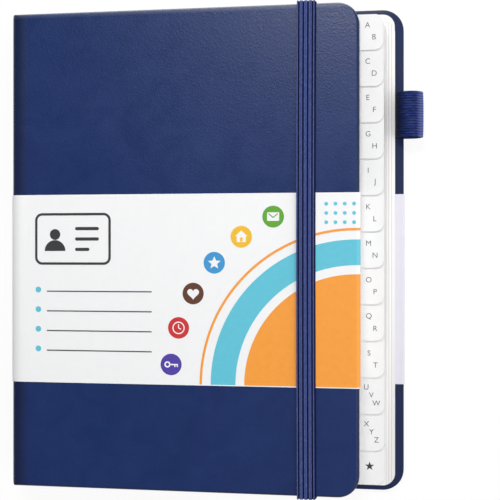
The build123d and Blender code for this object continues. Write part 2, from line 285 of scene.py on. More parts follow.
# Painted highlight: the paler tone that the loop's ribs take on towards its right side.
ELASTIC_PAINTED_HIGHLIGHT = (0.095, 0.120, 0.32)
INK_GAIN = 1.05
INK_LIFT = 0.004


def within(tree, mask, coordinate, span):
    """Keeps a mask only between two places in millimetres."""
    above = math_node(tree, "GREATER_THAN", coordinate, span[0] * MM)
    below = math_node(tree, "LESS_THAN", coordinate, span[1] * MM)
    return multiply(tree, multiply(tree, mask, above), below)


def writing_lines(tree):
    """1 on the thin printed lines of a leaf's two faces, 0 on its edges and margins."""
    place = split(tree, add(tree, "ShaderNodeTexCoord").outputs["Object"])
    share = math_node(tree, "FRACT", math_node(tree, "DIVIDE", place["Y"], LINE_PITCH * MM), 0)
    face = math_node(tree, "ABSOLUTE", surface_normal(tree)["Z"], 0)
    mask = math_node(tree, "LESS_THAN", share, LINE_WIDTH / LINE_PITCH)
    mask = multiply(tree, mask, math_node(tree, "GREATER_THAN", face, LEAF_FACE_LEAST))
    mask = within(tree, mask, place["X"], LINES_X)
    return within(tree, mask, place["Y"], LINES_Y)


def paper_material(name, colour, shade, roughness, fibre=1.0, lined=False):
    """Paper with a faint cloudy formation and fibres, and writing lines where it is lined."""
    material, tree, shader = new_material(name, roughness, specular=0.35)
    place = object_place(tree)
    cloud = ramp(tree, noise(tree, place, scale=260, detail=4, rough=0.6), 0.35, 0.7)
    mixed = mix(tree, cloud, colour, shade)
    if lined:
        mixed = mix(tree, writing_lines(tree), mixed, LINE_COLOUR)
    link(tree, mixed, shader.inputs["Base Color"])
    fibres = noise(tree, place, scale=2600, detail=3, rough=0.6)
    bump(tree, shader, fibres, strength=0.08 * fibre, distance_mm=0.05)
    return material


def leaf_edge_material():
    """Writing leaves: lined on their faces, with the single sheets showing along the edges."""
    material, tree, shader = new_material("writing_leaves", roughness=0.85, specular=0.3)
    sheets = noise(tree, object_place(tree, SHEET_STRETCH), scale=1.0, detail=2.0, rough=0.7)
    layers = mix(tree, ramp(tree, sheets, 0.38, 0.62), SHEET_DARK, SHEET_PALE)
    link(tree, mix(tree, writing_lines(tree), layers, LINE_COLOUR), shader.inputs["Base Color"])
    bump(tree, shader, sheets, strength=0.15, distance_mm=0.05)
    return material


def elastic_material(name, rib, groove, speck, speck_stretch, yarn_stretch, crease=None, highlight_span=None):
    """Woven elastic: fine yarns and pale specks on the ribs, dark in the grooves.

    A crease is a pair of X values in millimetres between which the elastic fades out of a painted shade
    where the loop dips beside the leaves; the other pair is where its ribs grow pale, a painted highlight.
    """
    material, tree, shader = new_material(name, roughness=0.75, specular=0.12, sheen=0.02)
    yarn = noise(tree, object_place(tree, yarn_stretch), scale=1.0, detail=3.0, rough=0.7)
    fluff = noise(tree, object_place(tree, speck_stretch), scale=1.0, detail=2.0, rough=0.6)
    specks = ramp(tree, fluff, 0.46, 0.68)
    raised = add(tree, "ShaderNodeAttribute", attribute_name="raised").outputs["Fac"]
    across = split(tree, object_place(tree))["X"]
    # Painted shade: the ribs fade into the groove's dark where the loop dips beside the leaf block.
    if crease:
        raised = multiply(tree, raised, band(tree, across, crease))
    colour = mix(tree, raised, groove, rib)
    colour = tint(tree, colour, multiply(tree, specks, raised), SPECK_SHARE, speck)
    # Painted highlight: the ribs grow paler towards the loop's right side.
    if highlight_span:
        colour = tint(tree, colour, band(tree, across, highlight_span), raised, ELASTIC_PAINTED_HIGHLIGHT)
    link(tree, colour, shader.inputs["Base Color"])
    bump(tree, shader, yarn, strength=0.35, distance_mm=0.08)
    return material


def cloth_material(name, colour, shade):
    material, tree, shader = new_material(name, roughness=0.85, specular=0.25, sheen=0.15)
    weave = noise(tree, object_place(tree, CLOTH_STRETCH), scale=1.0, detail=2.0, rough=0.6)
    link(tree, mix(tree, ramp(tree, weave, 0.35, 0.65), colour, shade), shader.inputs["Base Color"])
    bump(tree, shader, weave, strength=0.3, distance_mm=0.1)
    return material


def ink_material(name, colour):
    """Printed ink, letting a little of the paper's cloudiness through; also the leaves' painted shadow lines."""
    material, tree, shader = new_material(name, roughness=0.5, specular=0.4)
    place = object_place(tree)
    cloud = ramp(tree, noise(tree, place, scale=420, detail=4, rough=0.6), 0.3, 0.75)
    lighter = tuple(min(1.0, c * INK_GAIN + INK_LIFT) for c in colour)
    link(tree, mix(tree, cloud, colour, lighter), shader.inputs["Base Color"])
    fibres = noise(tree, place, scale=2600, detail=2, rough=0.6)
    bump(tree, shader, fibres, strength=0.05, distance_mm=0.03)
    return material


LEATHER = leather_material()
LEAVES = leaf_edge_material()
TAB_PAPER = paper_material("index_stock", (0.90, 0.90, 0.90), (0.88, 0.88, 0.88), 0.75, lined=True)
WRAP_PAPER = paper_material("wrap_paper", (0.94, 0.943, 0.95), (0.925, 0.928, 0.935), 0.5, fibre=0.6)
WRAP_BACK_PAPER = paper_material(
    "wrap_back_paper", (0.755, 0.745, 0.825), (0.735, 0.725, 0.805), 0.5, fibre=0.6)
LINING = paper_material("lining_paper", (0.84, 0.835, 0.82), (0.80, 0.795, 0.78), 0.8)
BOARD = paper_material("greyboard", (0.36, 0.33, 0.29), (0.28, 0.26, 0.23), 0.9, fibre=2.0)
BAND_CLOTH = cloth_material("band_cloth", (0.74, 0.72, 0.68), (0.60, 0.58, 0.55))
STRAP = elastic_material(
    "strap_elastic", rib=(0.060, 0.088, 0.265), groove=(0.0012, 0.0025, 0.035), speck=(0.115, 0.155, 0.35),
    speck_stretch=(2600, 800, 2600), yarn_stretch=(3200, 900, 3200))
LOOP = elastic_material(
    "loop_elastic", rib=(0.006, 0.020, 0.125), groove=(0.0008, 0.0015, 0.016), speck=(0.060, 0.080, 0.220),
    speck_stretch=(500, 3000, 500), yarn_stretch=(500, 3200, 3200),
    crease=(LOOP_AXIS.x - 5.0, LOOP_AXIS.x - 1.0), highlight_span=(LOOP_AXIS.x + 2.6, LOOP_AXIS.x + 4.4))
GREY_INK = ink_material("grey_ink", (0.065, 0.065, 0.068))
DARK_INK = ink_material("dark_ink", (0.035, 0.035, 0.038))
PALE_INK = ink_material("pale_grey_ink", (0.74, 0.74, 0.74))
# Painted shadow: the grey of the thin lines along the leaf steps.
LEAF_SHADE = ink_material("leaf_shade", (0.60, 0.575, 0.56))

SLOT_MATERIALS = {
    "cover_leather": LEATHER, "board": BOARD, "lining_paper": LINING, "leaf_paper": LEAVES,
    "tab_paper": TAB_PAPER, "wrap_paper": WRAP_PAPER, "strap_elastic": STRAP, "loop_elastic": LOOP,
    "band_cloth": BAND_CLOTH,
}
for entry in frame["record"]["subparts"]:
    node_mesh = frame["nodes"][entry["node"]].data
    node_mesh.materials.clear()
    node_mesh.materials.append(SLOT_MATERIALS[entry["material_slot"]])
frame["nodes"]["wrap_back"].data.materials[0] = WRAP_BACK_PAPER


# Mesh helpers

SHARP_ANGLE = math.radians(40)


def piece(name, points, faces, material, smooth=False):
    """A mesh object from points in millimetres."""
    mesh = bpy.data.meshes.new(name)
    mesh.from_pydata([Vector(p) * MM for p in points], [], faces)
    mesh.update()
    mesh.materials.append(material)
    if smooth:
        mesh.shade_smooth()
    made = bpy.data.objects.new(name, mesh)
    bpy.context.scene.collection.objects.link(made)
    return made


def recalculate(made):
    """Turns all of a closed mesh's faces outward."""
    work = bmesh.new()
    work.from_mesh(made.data)
    bmesh.ops.recalc_face_normals(work, faces=work.faces)
    work.to_mesh(made.data)
    work.free()


def sweep(name, path, section, width_axis, material, shift=None):
    """A closed section carried along a path of (point, outward normal, rise).

    A section point is (width, height, raised); rise scales its height, and raised is kept for the
    material. A shift moves each point once it is placed.
    """
    count = len(section)
    points = []
    for place, normal, rise in path:
        for width, height, _ in section:
            point = Vector(place) + Vector(width_axis) * width + Vector(normal) * height * rise
            points.append(shift(point) if shift else point)
    faces = []
    for ring in range(len(path) - 1):
        for k in range(count):
            a = ring * count + k
            b = ring * count + (k + 1) % count
            faces.append((a, b, b + count, a + count))
    faces.append(tuple(reversed(range(count))))
    faces.append(tuple(range((len(path) - 1) * count, len(path) * count)))
    made = piece(name, points, faces, material, smooth=True)
    recalculate(made)
    raised = made.data.attributes.new("raised", "FLOAT", "POINT")
    raised.data.foreach_set("value", [entry[2] for entry in section] * len(path))
    made.data.set_sharp_from_angle(angle=SHARP_ANGLE)
    return made


def arc(centre, radius, first, last, steps):
    """Points and outward normals of an arc, in its own plane's two coordinates, angles in degrees."""
    found = []
    for k in range(steps + 1):
        turn = math.radians(first + (last - first) * k / steps)
        normal = (math.cos(turn), math.sin(turn))
        found.append(((centre[0] + radius * normal[0], centre[1] + radius * normal[1]), normal))
    return found


def upright_path(flat, y):
    """A path at one Y from points and normals in X and Z."""
    return [(Vector((p[0], y, p[1])), Vector((n[0], 0, n[1])), 1.0) for p, n in flat]


def rounded_rib(share, roundness):
    """Height of a rib from 0 at its two sides to 1 over its middle."""
    return (1 - abs(2 * share - 1) ** roundness) ** (1 / roundness)


# Elastic strap

STRAP_THICK = 1.0
STRAP_UNDERSIDE = 0.05
STRAP_INNER_BEND = 0.2
STRAP_BEND_STEPS = 7
STRAP_FRONT_STEPS = 24
STRAP_END = 11.0
STRAP_SHIFT = 0.31
STRAP_BOW = 0.19
STRAP_BOW_REACH = 85.0
EDGE_RIB = 0.56
MAIN_RIB = 1.32
MAIN_RIB_COUNT = 3
STRAP_RIB_ROUNDNESS = 3.0
STRAP_RIB_STEPS = 12
STRAP_GROOVE = 0.48
GROOVE_DEPTH = 0.34
CLEFT_DEPTH = 0.11
CLEFT_SHARPNESS = 7
CLEFT_SHADE = 4
# Painted shadow: a low strip on the fore-edge's side, coloured as a groove, stands in for the strap's shadow on
# the cover.
SHADOW_STRIP_WIDTH = 0.52
SHADOW_STRIP_THICK = 0.34


def strap_rib(start, rib):
    """The section's points over one rib; a main rib has a shallow cleft between its two cords."""
    found = []
    for k in range(STRAP_RIB_STEPS + 1):
        share = k / STRAP_RIB_STEPS
        height = rounded_rib(share, STRAP_RIB_ROUNDNESS)
        cleft = 0.0
        if rib == MAIN_RIB:
            cleft = CLEFT_DEPTH * math.exp(-(((share - 0.5) * CLEFT_SHARPNESS) ** 2))
        level = STRAP_THICK - GROOVE_DEPTH * (1 - height) - cleft
        found.append((start + rib * share, level, height - CLEFT_SHADE * cleft))
    return found


def strap_section():
    """Flat underside; above, ribs with grooves between them; on the fore-edge's side a low dark strip, a painted
    shadow.
    """
    ribs = [EDGE_RIB] + [MAIN_RIB] * MAIN_RIB_COUNT + [EDGE_RIB]
    half = (sum(ribs) + STRAP_GROOVE * (len(ribs) - 1)) / 2
    upper = []
    start = -half
    for rib in ribs:
        upper += strap_rib(start, rib)
        start += rib + STRAP_GROOVE
    # Painted shadow: a dark strip beside the last rib.
    edge = half + SHADOW_STRIP_WIDTH
    shadow_strip = [(edge, SHADOW_STRIP_THICK, 0.0), (edge, STRAP_UNDERSIDE, 0.0)]
    return [(-half, STRAP_UNDERSIDE, 0.0)] + upper + shadow_strip


def strap_path():
    """Round the book from the slit at the tail to the slit at the head, along the strap's inner face."""
    low = STRAP_LOW.z + STRAP_THICK
    high = STRAP_HIGH.z - STRAP_THICK
    bend = STRAP_INNER_BEND
    span = STRAP_HIGH.y - STRAP_THICK - bend
    slit = BACK_HIGH.y - STRAP_END
    flat = [((-slit, low), (0, -1))]
    flat += arc((-span, low + bend), bend, 270, 180, STRAP_BEND_STEPS)
    flat += arc((-span, high - bend), bend, 180, 90, STRAP_BEND_STEPS)
    steps = STRAP_FRONT_STEPS
    flat += [((-span + 2 * span * k / steps, high), (0, 1)) for k in range(1, steps)]
    flat += arc((span, high - bend), bend, 90, 0, STRAP_BEND_STEPS)
    flat += arc((span, low + bend), bend, 0, -90, STRAP_BEND_STEPS)
    flat += [((slit, low), (0, -1))]
    middle = (STRAP_LOW.x + STRAP_HIGH.x) / 2
    return [(Vector((middle, p[0], p[1])), Vector((0, n[0], n[1])), 1.0) for p, n in flat]


def strap_bow(point):
    """The front run bows a little towards the spine, as it was pulled over by hand."""
    share = max(0.0, min(1.0, (point.z - BACK_HIGH.z) / (FRONT_HIGH.z - BACK_HIGH.z)))
    bow = STRAP_SHIFT + STRAP_BOW * (1 - (point.y / STRAP_BOW_REACH) ** 2)
    return point - Vector((bow * share, 0, 0))


def make_strap():
    strap = sweep("strap", strap_path(), strap_section(), (1, 0, 0), STRAP, strap_bow)
    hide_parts("elastic_strap")
    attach(strap, "back_cover")
    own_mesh(strap)


make_strap()


# Pen loop

LOOP_THICK = 0.9
LOOP_INSIDE = 0.02
LOOP_RIBS = 18
LOOP_RIB_ROUNDNESS = 2.4
LOOP_RIB_STEPS = 8
LOOP_GROOVE = 0.2
LOOP_BARREL = 0.16
LOOP_BARREL_POWER = 4
LOOP_EDGE_PALE = 0.9
LOOP_TURN_STEPS = 72
LOOP_TAIL_GAP = 0.5


def loop_section():
    """Smooth inside; outside, cords that run round the loop, drawn in towards the two edges."""
    half = (LOOP_HIGH.y - LOOP_LOW.y) / 2
    rib = 2 * half / LOOP_RIBS
    upper = []
    for index in range(LOOP_RIBS):
        for k in range(LOOP_RIB_STEPS):
            width = -half + rib * (index + k / LOOP_RIB_STEPS)
            height = rounded_rib(k / LOOP_RIB_STEPS, LOOP_RIB_ROUNDNESS)
            barrel = LOOP_BARREL * abs(width / half) ** LOOP_BARREL_POWER
            upper.append((width, LOOP_THICK - LOOP_GROOVE * (1 - height) - barrel, height))
    edge = LOOP_THICK - LOOP_GROOVE - LOOP_BARREL
    first = [(-half, LOOP_INSIDE, LOOP_EDGE_PALE), (-half, edge, LOOP_EDGE_PALE)]
    last = [(half, edge, LOOP_EDGE_PALE), (half, LOOP_INSIDE, LOOP_EDGE_PALE)]
    return first + upper[1:] + last


def make_pen_loop():
    radius = PEN["dims"]["r_mm"]
    seat = LOOP_AXIS.z - radius
    flat = [((LOOP_LOW.x, seat), (0, -1)), ((LOOP_AXIS.x - LOOP_TAIL_GAP, seat), (0, -1))]
    flat += arc((LOOP_AXIS.x, LOOP_AXIS.z), radius, -90, 270, LOOP_TURN_STEPS)
    path = upright_path(flat, LOOP_AXIS.y)
    loop = sweep("pen_loop_webbing", path, loop_section(), (0, 1, 0), LOOP)
    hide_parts("pen_loop")
    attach(loop, "back_cover")


make_pen_loop()


# Leather and paper over the two hinge lines

STRIP_REACH = 7.0
STRIP_FEATHER = 1.4
STRIP_FEATHER_RISE = 0.1
STRIP_THICK = 0.05
STRIP_EDGE_SLOPE = 0.5
HINGE_SPREAD = 1.1
HINGE_STEPS = 12
HINGE_LEAST_STEP = 0.01
TURN_STEPS = 14


def cover_turn(outer_z, sign, gap):
    """Points, normals and rises from a cover's face round its spine edge to mid-spine, in X and Z."""
    wide = SPINE_ROUND_WIDTH + gap
    deep = SPINE_ROUND_DROP + gap
    x = SPINE_X - gap
    z = outer_z + sign * gap
    start_x = SPINE_X + STRIP_REACH
    found = [((start_x, z), (0, sign), STRIP_FEATHER_RISE), ((start_x - STRIP_FEATHER, z), (0, sign), 1.0)]
    for k in range(TURN_STEPS + 1):
        turn = math.radians(90 + 90 * k / TURN_STEPS)
        across = math.cos(turn)
        up = math.sin(turn)
        normal = Vector((across / wide, sign * up / deep)).normalized()
        found.append(((x + wide * (1 + across), z - sign * deep * (1 - up)), normal, 1.0))
    hinge = FRONT_HINGE.z if sign > 0 else BACK_HINGE.z
    near = [hinge + sign * HINGE_SPREAD * (1 - 2 * k / HINGE_STEPS) for k in range(HINGE_STEPS + 1)]
    flat_start = z - sign * deep
    for level in near:
        if (flat_start - level) * sign > HINGE_LEAST_STEP:
            found.append(((x, level), (-1, 0), 1.0))
    found.append(((x, (SPINE_LOW.z + SPINE_HIGH.z) / 2), (-1, 0), 1.0))
    return found


def hinge_strip(name, side, y, gap, material):
    """A thin strip over a hinge line, from the cover's face to the middle of the spine."""
    sign = 1 if side == "front" else -1
    outer_z = FRONT_HIGH.z if side == "front" else BACK_LOW.z
    turned = cover_turn(outer_z, sign, gap)
    path = [(Vector((p[0], 0, p[1])), Vector((n[0], 0, n[1])), rise) for p, n, rise in turned]
    low, high = y
    section = [(low, 0.0, 0.0), (high, 0.0, 0.0), (high - STRIP_EDGE_SLOPE, STRIP_THICK, 1.0),
               (low + STRIP_EDGE_SLOPE, STRIP_THICK, 1.0)]
    strip = sweep(name, path, section, (0, 1, 0), material)
    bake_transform(strip)


LEATHER_Y = (FRONT_LOW.y + COVER_EDGE_ROUND, FRONT_HIGH.y - COVER_EDGE_ROUND)
WRAP_Y = (WRAP_LOW.y, WRAP_HIGH.y)
WRAP_GAP = SPINE_X - WRAP_LOW.x
for cover_side in ("front", "back"):
    hinge_strip(f"hinge_leather_{cover_side}", cover_side, LEATHER_Y, 0.0, LEATHER)
    hinge_strip(f"wrap_crease_{cover_side}", cover_side, WRAP_Y, WRAP_GAP, WRAP_PAPER)


# Printing and painted shadow lines: thin closed plates of ink

INK_THICK = 0.05
INK_SINK = 0.015
WELD_DISTANCE = 0.0005
MITRE_LEAST = 0.3
LETTER_UNIT = 10.0
LETTER_UNIT_HEIGHT = 7.29
LETTER_THINNING = -0.045


def weld(mesh):
    """Joins the plate's faces along their edges and turns them outward."""
    work = bmesh.new()
    work.from_mesh(mesh)
    bmesh.ops.remove_doubles(work, verts=work.verts, dist=WELD_DISTANCE)
    bmesh.ops.recalc_face_normals(work, faces=work.faces)
    work.to_mesh(mesh)
    work.free()


def curve_mesh(data):
    """The filled and extruded mesh of a flat curve or text, in millimetres."""
    data.fill_mode = "BOTH"
    data.extrude = INK_THICK / 2
    holder = bpy.data.objects.new(data.name, data)
    bpy.context.scene.collection.objects.link(holder)
    evaluated = holder.evaluated_get(bpy.context.evaluated_depsgraph_get())
    mesh = bpy.data.meshes.new_from_object(evaluated)
    bpy.data.objects.remove(holder)
    bpy.data.curves.remove(data)
    weld(mesh)
    return mesh


def figure_mesh(loops):
    """A plate over closed loops of (x, y); a loop inside another is a hole."""
    data = bpy.data.curves.new("figure", "CURVE")
    data.dimensions = "2D"
    for loop in loops:
        spline = data.splines.new("POLY")
        spline.points.add(len(loop) - 1)
        for point, (x, y) in zip(spline.points, loop):
            point.co = (x, y, 0, 1)
        spline.use_cyclic_u = True
    return curve_mesh(data)


def letter_mesh(letter, height, centre):
    """A capital of a given height with its box centred on a point."""
    data = bpy.data.curves.new("letter", "FONT")
    data.body = letter
    data.size = LETTER_UNIT
    data.offset = LETTER_THINNING
    mesh = curve_mesh(data)
    xs = [v.co.x for v in mesh.vertices]
    ys = [v.co.y for v in mesh.vertices]
    scale = height / LETTER_UNIT_HEIGHT
    middle = Vector(((min(xs) + max(xs)) / 2, (min(ys) + max(ys)) / 2, 0))
    for vertex in mesh.vertices:
        flat = (vertex.co - middle) * scale
        vertex.co = (flat.x + centre[0], flat.y + centre[1], vertex.co.z)
    return mesh


def printed(name, meshes, level, material, body):
    """Joins plates into one piece that lies on a face at a level and rides on a body."""
    lift = level + INK_THICK / 2 - INK_SINK
    points = []
    faces = []
    for mesh in meshes:
        first = len(points)
        points += [(v.co.x, v.co.y, v.co.z + lift) for v in mesh.vertices]
        faces += [tuple(first + k for k in polygon.vertices) for polygon in mesh.polygons]
        bpy.data.meshes.remove(mesh)
    made = piece(name, points, faces, material)
    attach(made, body)


def circle(centre, radius, steps=48):
    return [p for p, _ in arc(centre, radius, 0, 360, steps)][:-1]


def sector_ring(centre, inner, outer, first, last, steps=32):
    """A band between two radii, or a sector where the inner radius is 0."""
    far = [p for p, _ in arc(centre, outer, first, last, steps)]
    near = [p for p, _ in arc(centre, inner, last, first, steps)] if inner else [centre]
    return far + near


def stroke(points, width):
    """The outline of a line of a width along open points, with mitred corners."""
    points = [Vector(p) for p in points]
    left = []
    right = []
    for k, point in enumerate(points):
        ahead = (points[min(k + 1, len(points) - 1)] - point).normalized()
        behind = (point - points[max(k - 1, 0)]).normalized()
        along = (ahead + behind).normalized()
        side = Vector((-along.y, along.x))
        reach = width / 2 / max(MITRE_LEAST, along.dot(ahead if k < len(points) - 1 else behind))
        left.append(tuple(point + side * reach))
        right.append(tuple(point - side * reach))
    return left + right[::-1]


def rounded_box(low, high, radius, steps=6):
    corners = [((high[0] - radius, high[1] - radius), 0), ((low[0] + radius, high[1] - radius), 90),
               ((low[0] + radius, low[1] + radius), 180), ((high[0] - radius, low[1] + radius), 270)]
    return [p for centre, first in corners for p, _ in arc(centre, radius, first, first + 90, steps)]


def star(centre, radius, inner_share=0.40):
    """A star of five points, the first straight up."""
    found = []
    for k in range(10):
        turn = math.radians(90 + 36 * k)
        reach = radius if k % 2 == 0 else radius * inner_share
        found.append((centre[0] + reach * math.cos(turn), centre[1] + reach * math.sin(turn)))
    return found


# Index tabs

TAB_LOW, TAB_HIGH = node_box("tab_star")
TAB_PITCH = (TAB_HIGH.y - TAB_LOW.y) / len(SECTION_NAMES)
TAB_DEPTH = 14.0
TAB_CORNER = 3.5
TAB_CORNER_STEPS = 10
TAB_FIRST_SHARE = 0.97
TAB_GROWTH = 0.006
OUTLINE_WIDTH = 0.22
LETTER_HEIGHT = 2.2
STAR_RADIUS = 1.9
STAR_PLACE = (6.2, 7.5)
TWO_LETTERS = ((6.25, 9.8), (3.7, 5.05))
THREE_LETTERS = ((7.4, 10.85), (5.4, 7.7), (3.4, 4.5))


def tab_foot(index):
    """Lower edge of a tab; the tabs grow a little towards the tail, and the last takes the rest."""
    if index == len(SECTION_NAMES) - 1:
        return TAB_LOW.y
    shares = (index + 1) * (TAB_FIRST_SHARE + TAB_GROWTH * index / 2)
    return TAB_HIGH.y - shares * TAB_PITCH


def tab_outline(foot, fore_x):
    """The line along a tab's lower edge, round its corner and up its fore-edge."""
    inset = OUTLINE_WIDTH / 2
    edge = fore_x - inset
    radius = TAB_CORNER - inset
    bend = arc((edge - radius, foot + inset + radius), radius, 270, 360, TAB_CORNER_STEPS)
    top = min(foot + TAB_PITCH + TAB_CORNER, TAB_HIGH.y - TAB_CORNER)
    line = [(fore_x - TAB_DEPTH + inset, foot + inset)] + [p for p, _ in bend] + [(edge, top)]
    return stroke(line, OUTLINE_WIDTH)


def tab_print(index, name):
    """A tab's outline, and its letters or star placed from its fore-edge and its foot."""
    high = node_box(f"tab_{name}")[1]
    foot = tab_foot(index)
    body = f"section_{name}"
    outline = figure_mesh([tab_outline(foot, high.x)])
    printed(f"tab_outline_{name}", [outline], high.z, PALE_INK, body)
    if name == "star":
        sign = figure_mesh([star((high.x - STAR_PLACE[0], foot + STAR_PLACE[1]), STAR_RADIUS)])
        printed("index_star", [sign], high.z, DARK_INK, body)
        return
    places = TWO_LETTERS if len(name) == 2 else THREE_LETTERS
    letters = [letter_mesh(letter, LETTER_HEIGHT, (high.x - back, foot + up))
               for letter, (back, up) in zip(name.upper(), places)]
    printed(f"index_{name}", letters, high.z, GREY_INK, body)


for tab_index, tab_name in enumerate(SECTION_NAMES):
    tab_print(tab_index, tab_name)


# Painted shadow lines along the edges of the wider leaves behind the last tab

LEAF_STEP = 1.1
LEAF_STEP_COUNT = 4
BLOCK_CORNER = 4.8
LEAF_LINE = 0.24


def leaf_edge_shadows():
    """A thin painted shadow line along the edge of each stepped leaf, ended at the block's round corners."""
    low, high = node_box("leaves_star")
    drop = (high.z - low.z) / LEAF_STEP_COUNT
    for step in range(LEAF_STEP_COUNT - 1):
        back = (LEAF_STEP_COUNT - 1 - step) * LEAF_STEP + LEAF_LINE
        short = BLOCK_CORNER - math.sqrt(BLOCK_CORNER ** 2 - (BLOCK_CORNER - back) ** 2)
        x = high.x - back
        line = figure_mesh([stroke([(x, low.y + short), (x, high.y - short)], LEAF_LINE)])
        level = high.z - step * drop
        printed(f"leaf_edge_{step + 1}", [line], level, LEAF_SHADE, "section_star")


leaf_edge_shadows()


# Wrap print: a generic stationery design

ORANGE = ink_material("orange_ink", (0.93, 0.345, 0.042))
TEAL = ink_material("teal_ink", (0.117, 0.545, 0.690))
WHITE_INK = ink_material("white_ink", (0.90, 0.90, 0.90))
BADGE_INKS = [
    ("green", (0.114, 0.376, 0.027)), ("yellow", (0.90, 0.515, 0.022)), ("blue", (0.045, 0.305, 0.645)),
    ("brown", (0.114, 0.039, 0.018)), ("red", (0.610, 0.027, 0.032)), ("purple", (0.080, 0.046, 0.376)),
]
BADGE_RADIUS = 4.3
BADGE_ORBIT = 74.0
BADGE_ANGLES = (116, 174)
FOLD_ROUND = COVER_EDGE_ROUND + WRAP_HIGH.x - FRONT_HIGH.x
FOLD_STEPS = 10
FLAP_ROUND = 0.55
CORNER = (WRAP_HIGH.x - FOLD_ROUND, WRAP_LOW.y + 0.4)
CORNER_RINGS = (("disc", (0, 44), ORANGE), ("ring", (47.5, 57.5), TEAL), ("line", (61, 62), ORANGE))
QUARTER = (90, 180)
CARD_LOW = (-69.0, -6.0)
CARD_HIGH = (-37.0, 15.0)
CARD_ROUND = 3.0
CARD_LINE = 1.0
CARD_ROW_START = -52.0
CARD_ROWS = ((8.0, -42.0), (3.8, -42.0), (-0.4, -46.0))
CARD_ROW_HEIGHT = 1.3
CARD_ROW_ROUND = 0.6
PERSON_PLACE = (-60.5, 4.0)
PERSON_SCALE = 2.0
WRITING_LEVELS = (-17.0, -25.0, -33.0, -41.0)
WRITING_SPAN = (-64.0, -20.0)
WRITING_HEIGHT = 0.5
WRITING_ROUND = 0.2
BULLET_PLACE = (-67.6, 0.9)
BULLET_RADIUS = 1.2
BULLET_STEPS = 24
DOT_FIRST = (50.0, 18.0)
DOT_PITCH = 3.6
DOT_COLUMNS = 4
DOT_ROWS = 3
DOT_RADIUS = 0.75
DOT_STEPS = 20
PICTURE_LINE = 0.42
HEART_SCALE = 0.15
HEART_STEPS = 40


def envelope():
    flap = stroke([(-1.9, 1.2), (0, -0.35), (1.9, 1.2)], PICTURE_LINE)
    return [[rounded_box((-2.4, -1.7), (2.4, 1.7), 0.35), flap]]


def house():
    walls = [(-2.5, 0.2), (0, 2.5), (2.5, 0.2), (1.8, 0.2), (1.8, -2.1), (-1.8, -2.1), (-1.8, 0.2)]
    door = [(-0.55, -1.9), (0.55, -1.9), (0.55, -0.3), (-0.55, -0.3)]
    return [[walls, door]]


def heart():
    found = []
    for k in range(HEART_STEPS):
        turn = 2 * math.pi * k / HEART_STEPS
        x = 16 * math.sin(turn) ** 3
        y = 13 * math.cos(turn) - 5 * math.cos(2 * turn) - 2 * math.cos(3 * turn) - math.cos(4 * turn)
        found.append((x * HEART_SCALE, y * HEART_SCALE))
    return [[found]]


def clock():
    hands = stroke([(0, 1.4), (0, 0), (1.0, -0.6)], PICTURE_LINE)
    return [[circle((0, 0), 2.5), circle((0, 0), 2.05), hands]]


def key():
    head = [circle((-1.5, 0), 1.25), circle((-1.5, 0), 0.65)]
    shaft = [(-0.2, 0.25), (-0.2, -0.25), (1.3, -0.25), (1.3, -1.0), (1.8, -1.0), (1.8, -0.25),
             (2.3, -0.25), (2.3, -1.0), (2.8, -1.0), (2.8, 0.25)]
    return [head, [shaft]]


def person():
    return [[circle((0, 1.15), 1.1)], [sector_ring((0, -2.2), 0, 2.2, 0, 180)]]


def moved(figures, centre, scale=1.0):
    return [[[(centre[0] + x * scale, centre[1] + y * scale) for x, y in loop] for loop in figure]
            for figure in figures]


def wrap_plate(name, figures, material, layer=0):
    """Ink on the wrap's front panel; a later layer lies on an earlier one."""
    meshes = [figure_mesh(loops) for loops in figures]
    level = WRAP_HIGH.z + layer * (INK_THICK - 2 * INK_SINK)
    printed(name, meshes, level, material, "front_cover")


def fold_print(name, radii, material):
    """Ink that follows the paper from the front panel round the fore-edge, where a ring meets the fold."""
    bend = arc((CORNER[0], WRAP_HIGH.z - FOLD_ROUND), FOLD_ROUND, 90, 0, FOLD_STEPS)
    bend.append(((WRAP_HIGH.x, WRAP_LOW.z + FLAP_ROUND), (1, 0)))
    inner, outer = radii
    low = -INK_SINK
    high = INK_THICK - INK_SINK
    section = [(inner, low, 0), (outer, low, 0), (outer, high, 0), (inner, high, 0)]
    made = sweep(name, upright_path(bend, CORNER[1]), section, (0, 1, 0), material)
    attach(made, "front_cover")


def corner_rings():
    for name, radii, material in CORNER_RINGS:
        wrap_plate(f"print_corner_{name}", [[sector_ring(CORNER, *radii, *QUARTER)]], material)
        fold_print(f"print_fold_{name}", radii, material)


def badges():
    """Coloured discs round the corner design, each with a small white picture."""
    pictures = [envelope(), house(), [[star((0, -0.1), 2.7, 0.45)]], heart(), clock(), key()]
    first, last = BADGE_ANGLES
    white = []
    for k, (name, colour) in enumerate(BADGE_INKS):
        turn = math.radians(first + (last - first) * k / (len(BADGE_INKS) - 1))
        centre = (CORNER[0] + BADGE_ORBIT * math.cos(turn), CORNER[1] + BADGE_ORBIT * math.sin(turn))
        ink = ink_material(f"{name}_ink", colour)
        wrap_plate(f"print_badge_{name}", [[circle(centre, BADGE_RADIUS)]], ink)
        white += moved(pictures[k], centre)
    wrap_plate("print_badge_pictures", white, WHITE_INK, 1)


def bar(start, end, level, height, radius):
    """A figure of one level bar with rounded ends."""
    return [rounded_box((start, level), (end, level + height), radius)]


